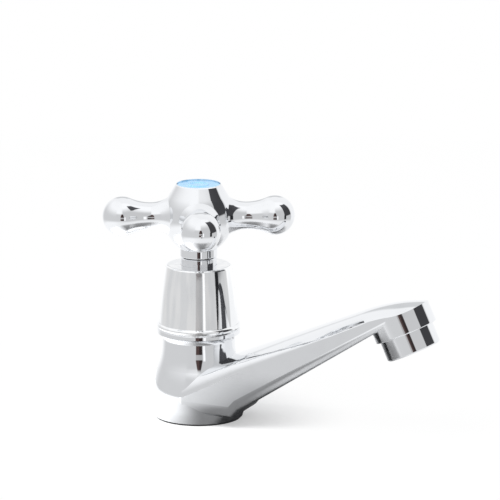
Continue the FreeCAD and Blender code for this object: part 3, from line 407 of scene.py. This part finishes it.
@dataclass(frozen=True)
class RubberFinish(Finish):
    """Moulded black rubber."""

    def surface(self, mix: Recipe, place: Signal) -> dict[str, Any]:
        """Matt black with a pale bloom and a fine grain.

        Args:
            mix: The material's node tree.
            place: Where a point lies on the piece.

        Returns:
            What the shader is given.
        """
        bloom = BLOOM_RANGE.of(mix.noise(place, BLOOM_GRAIN, BLOOM_DETAIL))
        grain = mix.noise(place, RUBBER_GRAIN, FINE_DETAIL)
        return {
            "Base Color": mix.blend(bloom * BLOOM_SHARE, self.colour, BLOOM_COLOUR),
            "Roughness": bloom * BLOOM_DULLING + RUBBER_ROUGHNESS,
            "Normal": mix.bump(grain, RUBBER_RELIEF),
        }


@dataclass(frozen=True)
class FibreFinish(Finish):
    """Pressed vulcanised fibre or packing."""

    def surface(self, mix: Recipe, place: Signal) -> dict[str, Any]:
        """Mottled fibre with a low sheen.

        Args:
            mix: The material's node tree.
            place: Where a point lies on the piece.

        Returns:
            What the shader is given.
        """
        mottle = mix.drawn_noise(place, MOTTLE_GRAIN, MOTTLE_DETAIL)
        darker = tuple(channel * MOTTLE_DARKENING for channel in self.colour)
        return {
            "Base Color": mix.blend(MOTTLE_RANGE.of(mottle), self.colour, darker),
            "Roughness": mottle * MOTTLE_DULLING + FIBRE_ROUGHNESS,
            "Normal": mix.bump(mottle, FIBRE_RELIEF),
        }


@dataclass(frozen=True)
class PlasticFinish(Finish):
    """Moulded plastic, lacquered where it has a coat."""

    gloss: float = 0.35
    coat: float = 0.0

    def surface(self, mix: Recipe, place: Signal) -> dict[str, Any]:
        """Slightly cloudy plastic with a faint moulded grain.

        Args:
            mix: The material's node tree.
            place: Where a point lies on the piece.

        Returns:
            What the shader is given.
        """
        cloud = mix.noise(place, CLOUD_GRAIN)
        grain = mix.noise(place, MOULD_GRAIN, FINE_DETAIL)
        paler = tuple(min(1.0, channel * CLOUD_GAIN + CLOUD_LIFT) for channel in self.colour)
        return {
            "Base Color": mix.blend(CLOUD_RANGE.of(cloud), self.colour, paler),
            "Roughness": cloud * CLOUD_DULLING + self.gloss,
            "Coat Weight": self.coat,
            "Normal": mix.bump(grain, MOULD_RELIEF),
        }


CHROME = (0.86, 0.87, 0.885)
BRASS = (0.72, 0.54, 0.25)
DULL_BRASS = (0.46, 0.31, 0.14)

FINISHES: tuple[Finish, ...] = (
    ChromeFinish("chrome_cast", CHROME),
    # The turned chrome carries the painted reflection streaks.
    ChromeFinish("chrome_turned", (0.9, 0.91, 0.92), gloss=0.05, ripple=0.000006, painted_reflection_streaks=1.0),
    ChromeFinish("chrome_small", (0.82, 0.83, 0.85), gloss=0.07),
    ChromeFinish("chrome_handle", CHROME, ripple=0.00001),
    ChromeFinish("chrome_shell", CHROME, ripple=0.000004),
    TurnedMetalFinish("brass_tail", BRASS, DULL_BRASS),
    TurnedMetalFinish("brass_nut", (0.66, 0.49, 0.24), DULL_BRASS, gloss=0.34),
    TurnedMetalFinish("brass_bonnet", BRASS, DULL_BRASS),
    TurnedMetalFinish("brass_spindle", (0.76, 0.59, 0.3), DULL_BRASS, gloss=0.16),
    TurnedMetalFinish("brass_jumper", BRASS, DULL_BRASS),
    TurnedMetalFinish("brass_bush", BRASS, DULL_BRASS),
    TurnedMetalFinish("steel_washer", (0.62, 0.63, 0.64), (0.45, 0.45, 0.44)),
    TurnedMetalFinish("steel_screw", (0.66, 0.67, 0.68), (0.5, 0.5, 0.5), gloss=0.2),
    TurnedMetalFinish("steel_mesh", (0.6, 0.61, 0.62), (0.4, 0.4, 0.4)),
    RubberFinish("rubber_deck", (0.02, 0.02, 0.021)),
    RubberFinish("rubber_gasket", (0.016, 0.016, 0.017)),
    RubberFinish("rubber_washer", (0.02, 0.02, 0.021)),
    RubberFinish("rubber_outlet", (0.025, 0.025, 0.026)),
    FibreFinish("fibre", (0.36, 0.07, 0.04)),
    FibreFinish("packing", (0.8, 0.8, 0.77)),
    PlasticFinish("index_blue", (0.2, 0.44, 0.68), gloss=0.25, coat=0.4),
    PlasticFinish("straightener", (0.72, 0.73, 0.72)),
)


# ------------------------------------------------------------------ studio ----
@dataclass(frozen=True)
class Wall:
    """A wall of the tent that brightens upwards."""

    tone: float
    brightening: Climb
    gain: float

    def brightness(self, above: Signal) -> Signal:
        """Its brightness at a height in degrees."""
        return self.brightening.of(above) * self.gain + self.tone


# What polished metal sees round the tap. Directions are in degrees: ROUND to the
# right of the camera, and UP from the horizon. OUT is metres from the tap's axis.
# A wall's tone is its brightness at the bottom, and it gains the rest as it climbs.
TENT_TINT = (0.985, 0.99, 1.0)
ROOM_LIGHT = (0.55, 0.56, 0.58)
LEFT_WALL = Wall(0.71, Climb(4.0, 48.0), 0.38)
NEAR_LEFT_WALL = Wall(0.7, Climb(16.0, 30.0), 0.4)
RIGHT_WALL = Wall(0.65, Climb(26.0, 62.0), 0.48)
NEAR_LEFT_ROUND = Climb(-42.0, -30.0)
RIGHT_ROUND = Climb(-6.0, 8.0)
STRIP_TONE = 1.15
STRIP_ROUND = Span(13.5, 20.0, 1.0)
STRIP_UP = Span(-15.0, 5.0, 1.5)
BACK_WALL_TONE = 1.03
BACK_WALL_RIGHT = Climb(104.0, 112.0)
BACK_WALL_LEFT = Climb(-160.0, -125.0)
LOW_TONE = 1.08
LOW_UP = Climb(-28.0, -14.5)
LOW_LOSS = 0.12
LOW_LOSS_ROUND = Climb(-60.0, 10.0)

# A dark upright shape beside the camera, which narrows over its waist and is paler
# round the horizon.
SHAPE_LEFT = -10.5
SHAPE_RIGHT = 13.0
SHAPE_SOFT = 1.2
SHAPE_WAIST = 6.0
SHAPE_TAPER = 0.3
SHAPE_UP = Span(-15.5, 22.0, 1.5)
SHAPE_PALE_UP = Span(-5.6, 3.2, 0.7)
SHAPE_PALING = 0.7
SHAPE_LEFT_TONE = (0.13, 0.085, 0.08)
SHAPE_RIGHT_TONE = (0.06, 0.045, 0.045)
SHAPE_TONE_ROUND = Climb(0.0, 3.0)

# A dark panel to the right, whose top falls with each degree, with a darker post at
# its near edge, and a grey seam behind.
PANEL_TONE = (0.085, 0.085, 0.092)
PANEL_ROUND = Span(58.0, 104.0, 1.2)
PANEL_FOOT = 0.0
PANEL_TOP = 84.0
PANEL_TOP_FALL = 0.33
PANEL_TOP_SOFT = 2.0
POST_TONE = (0.03, 0.03, 0.033)
POST_ROUND = Span(56.0, 69.0, 1.0)
POST_UP = Span(-16.0, 4.0, 1.5)
SEAM_TONE = (0.68, 0.69, 0.7)
SEAM_RIGHT = Climb(163.0, 169.0)
SEAM_LEFT = Climb(-169.0, -163.0)
SEAM_UP = Span(14.0, 36.0, 3.0)

# The table top. Polished metal sees it darker than it is, a painted shade to the camera's
# right and round the spout, and LIT is where that painted shade is lifted. SHADOW is how much
# of the shadow is lifted for the camera, and past MIRRORED_OUT metal sees the tent.
TABLE_RADIUS = 0.6
TABLE_POINTS = 96
TABLE_TONE = 0.9
# Painted shade: how much darker polished metal sees the table where it is not lit.
TABLE_PAINTED_SHADE = 0.72
TABLE_LIT_LEFT = Climb(-65.0, 8.0)
TABLE_LIT_BACK = Climb(120.0, 170.0)
TABLE_LIT_OUT = Climb(0.03, 0.24)
TABLE_LIT_OUT_SHARE = 0.62
# Painted light beside the spout, near the tap, which lifts part of the painted shade.
SPOUT_SIDE_ROUND = Climb(20.0, 50.0)
SPOUT_SIDE_OUT = Climb(0.03, 0.06)
SPOUT_SIDE_SHARE = 0.42
SHADOW_LIFT = 0.4
SHADOW_LIFT_GAIN = 0.58
SHADOW_OUT = Climb(0.01, 0.07)
MIRRORED_OUT = Climb(0.085, 0.125)


@dataclass
class Studio:
    """Camera, light tent and table set up after the photograph, and one lamp."""

    azimuth: float = 22.0
    elevation: float = 12.9
    distance: float = 2.52
    focal_pixels: float = 5800.0
    frame_pixels: float = 500.0
    sensor_mm: float = 36.0
    foot_pixel: tuple[float, float] = (199.0, 415.5)
    farthest: float = 20.0

    def _heading(self, around: float, lift: float) -> Vector:
        """The direction in which something stands.

        Args:
            around: Degrees to the right of the camera.
            lift: Degrees over the table.

        Returns:
            The direction from the tap, of length 1.
        """
        turn = math.radians(self.azimuth + around)
        rise = math.radians(lift)
        flat = math.cos(rise)
        return Vector((math.sin(turn) * flat, -math.cos(turn) * flat, math.sin(rise)))

    def _axes(self) -> tuple[Vector, Vector, Vector]:
        """The camera's axes.

        Returns:
            Its right, up and forward directions.
        """
        turn = math.radians(self.azimuth)
        back = self._heading(0.0, self.elevation)
        right = Vector((math.cos(turn), math.sin(turn), 0.0))
        return right, right.cross(-back), -back

    def add_camera(self) -> None:
        """Put the camera where the photograph seems to have been taken from."""
        right, up, ahead = self._axes()
        middle = self.frame_pixels / 2
        scale = self.distance / self.focal_pixels
        across = (self.foot_pixel[0] - middle) * scale
        above = -(self.foot_pixel[1] - middle) * scale
        data = bpy.data.cameras.new("photo_camera")
        data.sensor_width = self.sensor_mm
        data.lens = self.focal_pixels / self.frame_pixels * self.sensor_mm
        data.clip_end = self.farthest
        camera = bpy.data.objects.new("photo_camera", data)
        bpy.context.scene.collection.objects.link(camera)
        place = -(right * across + up * above + ahead * self.distance)
        turned = Matrix((right, up, -ahead)).transposed().to_4x4()
        camera.matrix_world = Matrix.Translation(place) @ turned
        bpy.context.scene.camera = camera

    def _around(self, mix: Recipe, place: Signal) -> Signal:
        """How far round a direction or a place lies.

        Args:
            mix: The node tree.
            place: The direction, or the place from the tap's axis.

        Returns:
            Degrees to the right of the camera.
        """
        split = mix.node("ShaderNodeSeparateXYZ", None, {0: place})
        east, north = split.out("X"), split.out("Y")
        turn = math.radians(self.azimuth)
        front = east * math.sin(turn) - north * math.cos(turn)
        side = east * math.cos(turn) + north * math.sin(turn)
        return side.math("ARCTAN2", front) * math.degrees(1.0)

    def add_tent(self) -> None:
        """White tent with the grey walls and dark shapes that polished metal picks up."""
        mix = Recipe(bpy.data.worlds.new("light_tent"))
        bpy.context.scene.world = mix.owner
        look = mix.node("ShaderNodeTexCoord")
        around = self._around(mix, look)
        height = mix.node("ShaderNodeSeparateXYZ", None, {0: look}).out("Z")
        above = height.math("ARCSINE") * math.degrees(1.0)
        dark = mix.blend(SHAPE_TONE_ROUND.of(around), SHAPE_LEFT_TONE, SHAPE_RIGHT_TONE)
        shade = mix.blend(self._dark_shape(around, above), TENT_TINT, dark)
        panel_up = Span(PANEL_FOOT, PANEL_TOP - around * PANEL_TOP_FALL, PANEL_TOP_SOFT)
        panel = PANEL_ROUND.of(around) * panel_up.of(above)
        shade = mix.blend(panel, shade, PANEL_TONE)
        shade = mix.blend(POST_ROUND.of(around) * POST_UP.of(above), shade, POST_TONE)
        behind = SEAM_RIGHT.of(around).larger(1.0 - SEAM_LEFT.of(around))
        shade = mix.blend(behind * SEAM_UP.of(above), shade, SEAM_TONE)
        seen = mix.node(
            "ShaderNodeMix",
            {"data_type": "RGBA", "blend_type": "MULTIPLY"},
            {"Factor": 1.0, "A": mix.grey(self._walls(around, above)), "B": shade},
        )
        path = mix.node("ShaderNodeLightPath")
        white = path.out("Is Camera Ray").larger(path.out("Is Transmission Ray"))
        colour = mix.blend(path.out("Is Glossy Ray"), ROOM_LIGHT, seen)
        colour = mix.blend(white, colour, WHITE)
        background = mix.node("ShaderNodeBackground", None, {"Color": colour})
        mix.finish(background, Output.WORLD)

    @staticmethod
    def _dark_shape(around: Signal, above: Signal) -> Signal:
        """Where the dark upright shape beside the camera stands.

        Args:
            around: Degrees to the right of the camera.
            above: Degrees over the horizon.

        Returns:
            1 on the shape and 0 beside it.
        """
        taper = above.larger(SHAPE_WAIST) * SHAPE_TAPER
        width = Span(taper + SHAPE_LEFT, SHAPE_RIGHT - taper, SHAPE_SOFT)
        paled = 1.0 - SHAPE_PALE_UP.of(above) * SHAPE_PALING
        return width.of(around) * SHAPE_UP.of(above) * paled

    @staticmethod
    def _walls(around: Signal, above: Signal) -> Signal:
        """Brightness of the tent's walls, roof and floor.

        Args:
            around: Degrees to the right of the camera.
            above: Degrees over the horizon.

        Returns:
            The brightness.
        """
        tone = LEFT_WALL.brightness(above)
        tone = tone.towards(NEAR_LEFT_WALL.brightness(above), NEAR_LEFT_ROUND.of(around))
        tone = tone.towards(RIGHT_WALL.brightness(above), RIGHT_ROUND.of(around))
        tone = tone.towards(STRIP_TONE, STRIP_ROUND.of(around) * STRIP_UP.of(above))
        back = BACK_WALL_RIGHT.of(around).larger(1.0 - BACK_WALL_LEFT.of(around))
        tone = tone.towards(BACK_WALL_TONE, back)
        low_tone = LOW_TONE - LOW_LOSS_ROUND.of(around) * LOW_LOSS
        return tone.towards(low_tone, 1.0 - LOW_UP.of(above))

    @staticmethod
    def _table_painted_light(around: Signal, reach: Signal) -> Signal:
        """How bright polished metal sees the table, as painted light and shade in its colour.

        Args:
            around: Degrees to the right of the camera.
            reach: Metres from the tap's axis.

        Returns:
            1 where it is brightest and 0 where it is darkest.
        """
        lit = (1.0 - TABLE_LIT_LEFT.of(around)).larger(TABLE_LIT_BACK.of(around))
        lit = lit.larger(TABLE_LIT_OUT.of(reach) * TABLE_LIT_OUT_SHARE)
        # Painted light: beside the spout the painted shade is partly lifted.
        spout_side = SPOUT_SIDE_ROUND.of(around) * SPOUT_SIDE_OUT.of(reach)
        return lit.larger(spout_side * SPOUT_SIDE_SHARE)

    def add_floor(self) -> None:
        """White table top that keeps the object's soft shadow, with a painted shade that only
        polished metal sees.
        """
        bpy.ops.object.select_all(action="DESELECT")
        bpy.ops.mesh.primitive_circle_add(
            vertices=TABLE_POINTS,
            radius=TABLE_RADIUS,
            fill_type="NGON",
            location=(0.0, 0.0, 0.0),
        )
        floor = bpy.context.object
        floor.name = "table_top"
        mix = Recipe(bpy.data.materials.new("white_table"))
        path = mix.node("ShaderNodeLightPath")
        direct = path.out("Is Camera Ray").larger(path.out("Is Transmission Ray"))
        mirrored = path.out("Is Glossy Ray")
        place = mix.place()
        reach = mix.node("ShaderNodeVectorMath", {"operation": "LENGTH"}, {0: place})
        reach = reach.out("Value")
        lit = self._table_painted_light(self._around(mix, place), reach)
        # Painted shade: for reflections only, the table's colour is darkened where it is not
        # lit.
        tone = TABLE_TONE - mirrored * (1.0 - lit) * TABLE_PAINTED_SHADE
        plain = mix.node("ShaderNodeBsdfDiffuse", None, {"Color": mix.grey(tone)})
        glow = mix.node("ShaderNodeEmission", None, {"Color": (*WHITE, 1.0)})
        share = direct * (SHADOW_OUT.of(reach) * SHADOW_LIFT_GAIN + SHADOW_LIFT)
        top = mix.node("ShaderNodeMixShader", None, {0: share, 1: plain, 2: glow})
        clear = mix.node("ShaderNodeBsdfTransparent")
        gone = mirrored * MIRRORED_OUT.of(reach)
        mix.finish(mix.node("ShaderNodeMixShader", None, {0: gone, 1: top, 2: clear}))
        floor.data.materials.append(mix.owner)

    def add_lamp(
        self, name: str, around: float, lift: float, reach: float, size: float, power: float
    ) -> None:
        """Add a soft lamp.

        Args:
            name: The lamp's name.
            around: Where it stands, in degrees to the right of the camera.
            lift: Its height over the table, in degrees.
            reach: Its distance in metres.
            size: Its side in metres.
            power: Its power in watts.
        """
        data = bpy.data.lights.new(name, "AREA")
        data.size = size
        data.energy = power
        lamp = bpy.data.objects.new(name, data)
        bpy.context.scene.collection.objects.link(lamp)
        away = self._heading(around, lift)
        lamp.location = away * reach
        lamp.rotation_euler = away.to_track_quat("Z", "Y").to_euler()
        lamp.visible_glossy = False

    def build(self) -> None:
        """Set up the whole studio."""
        self.add_camera()
        self.add_tent()
        self.add_floor()
        self.add_lamp("key_lamp", around=-40.0, lift=58.0, reach=1.2, size=0.6, power=16.0)
        bpy.context.scene.view_settings.view_transform = "Standard"


# ------------------------------------------------------------------ pieces ----
@dataclass(frozen=True)
class Thread:
    """A stretch of pipe thread on an upright cylinder, in metres."""

    radius: float
    start: float
    end: float
    pitch: float
    depth: float

    def radius_at(self, height: float, turn: float) -> float:
        """Radius of the threaded surface.

        Args:
            height: Height of the point.
            turn: Its place round the axis, as a share of a whole turn.

        Returns:
            The radius, which runs out to the plain cylinder at both ends.
        """
        run_out = min(height - self.start, self.end - height) / self.pitch
        share = max(0.0, min(1.0, run_out))
        wave = 0.5 - 0.5 * math.cos(math.tau * (height / self.pitch - turn))
        return self.radius - self.depth * share * wave

    def heights(self, steps: int) -> list[float]:
        """Heights of the rings between the thread's ends.

        Args:
            steps: About how many rings each turn has.

        Returns:
            The heights, from the lowest up.
        """
        count = round((self.end - self.start) / self.pitch * steps)
        gap = (self.end - self.start) / count
        return [self.start + gap * number for number in range(1, count)]


@dataclass
class ThreadedTail:
    """The inlet tail with its half-inch pipe thread and the thread in the foot."""

    node: str = "inlet_tail"
    slot: str = "brass_tail"
    around: int = 96
    steps: int = 14
    bore: float = 6.0 * MM
    pilot: float = 9.2 * MM
    bottom: float = -46.0 * MM
    pilot_top: float = -43.0 * MM
    main: Thread = Thread(
        radius=10.45 * MM, start=-41.75 * MM, end=1.0 * MM, pitch=1.814 * MM, depth=1.1 * MM
    )
    stub: Thread = Thread(
        radius=8.28 * MM, start=1.0 * MM, end=10.15 * MM, pitch=1.337 * MM, depth=0.8 * MM
    )
    mesh: bmesh.types.BMesh = field(default_factory=bmesh.new)
    rings: list[list[bmesh.types.BMVert]] = field(default_factory=list)
    corners: list[int] = field(default_factory=list)

    def _add_ring(self, height: float, radius_at: Callable[[float, float], float]) -> None:
        """Add a ring of points.

        Args:
            height: Height of the ring.
            radius_at: Gives the radius at a height and a share of a whole turn.
        """
        ring = []
        for number in range(self.around):
            turn = number / self.around
            radius = radius_at(height, turn)
            angle = math.tau * turn
            point = (radius * math.cos(angle), radius * math.sin(angle), height)
            ring.append(self.mesh.verts.new(point))
        self.rings.append(ring)

    def _add_corner(self, radius: float, height: float) -> None:
        """Add a plain ring with a sharp edge."""
        self.corners.append(len(self.rings))
        self._add_ring(height, lambda _height, _turn: radius)

    def _add_thread(self, thread: Thread) -> None:
        """Add the rings of a thread, with a sharp edge at each end.

        Args:
            thread: The thread.
        """
        self._add_corner(thread.radius, thread.start)
        for height in thread.heights(self.steps):
            self._add_ring(height, thread.radius_at)
        self._add_corner(thread.radius, thread.end)

    def _join_rings(self) -> None:
        """Lay faces from each ring to the next, and from the last to the first."""
        for number, lower in enumerate(self.rings):
            upper = self.rings[(number + 1) % len(self.rings)]
            for place in range(self.around):
                after = (place + 1) % self.around
                face = (lower[place], lower[after], upper[after], upper[place])
                self.mesh.faces.new(face).smooth = True
        for number in self.corners:
            ring = self.rings[number]
            for place in range(self.around):
                edge = self.mesh.edges.get((ring[place], ring[(place + 1) % self.around]))
                edge.smooth = False

    def build(self, materials: dict[str, bpy.types.Material]) -> bpy.types.Object:
        """Make the tail in place of the plain one.

        Args:
            materials: The finishes by slot.

        Returns:
            The new piece.
        """
        self._add_corner(self.bore, self.bottom)
        self._add_corner(self.pilot, self.bottom)
        self._add_corner(self.pilot, self.pilot_top)
        self._add_thread(self.main)
        self._add_thread(self.stub)
        self._add_corner(self.bore, self.stub.end)
        self._join_rings()
        bmesh.ops.recalc_face_normals(self.mesh, faces=self.mesh.faces[:])
        data = bpy.data.meshes.new("threaded_tail")
        self.mesh.to_mesh(data)
        self.mesh.free()
        data.materials.append(materials[self.slot])
        piece = bpy.data.objects.new("threaded_tail", data)
        bpy.context.scene.collection.objects.link(piece)
        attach(piece, Body.TAP.value)
        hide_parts(self.node)
        return piece


# ---------------------------------------------------------------- dressing ----
def report_piece(piece: bpy.types.Object) -> None:
    """Log a piece and its finish."""
    LOG.info("%s wears %s", piece.name, piece.active_material.name)


def dress_frame(
    nodes: dict[str, bpy.types.Object],
    record: dict[str, Any],
    materials: dict[str, bpy.types.Material],
) -> None:
    """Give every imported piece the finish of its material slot.

    Args:
        nodes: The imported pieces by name.
        record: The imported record.
        materials: The finishes by slot.
    """
    for part in record["subparts"]:
        piece = nodes[part["node"]]
        for holder in piece.material_slots:
            holder.material = materials[part["material_slot"]]
        report_piece(piece)


def main() -> None:
    """Dress the tap and set up the studio."""
    logging.basicConfig(level=logging.INFO, format="%(message)s")
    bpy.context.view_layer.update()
    materials = {finish.name: finish.material() for finish in FINISHES}
    dress_frame(frame["nodes"], frame["record"], materials)
    report_piece(ThreadedTail().build(materials))
    Studio().build()
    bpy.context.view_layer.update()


if __name__ == "__main__":
    main()
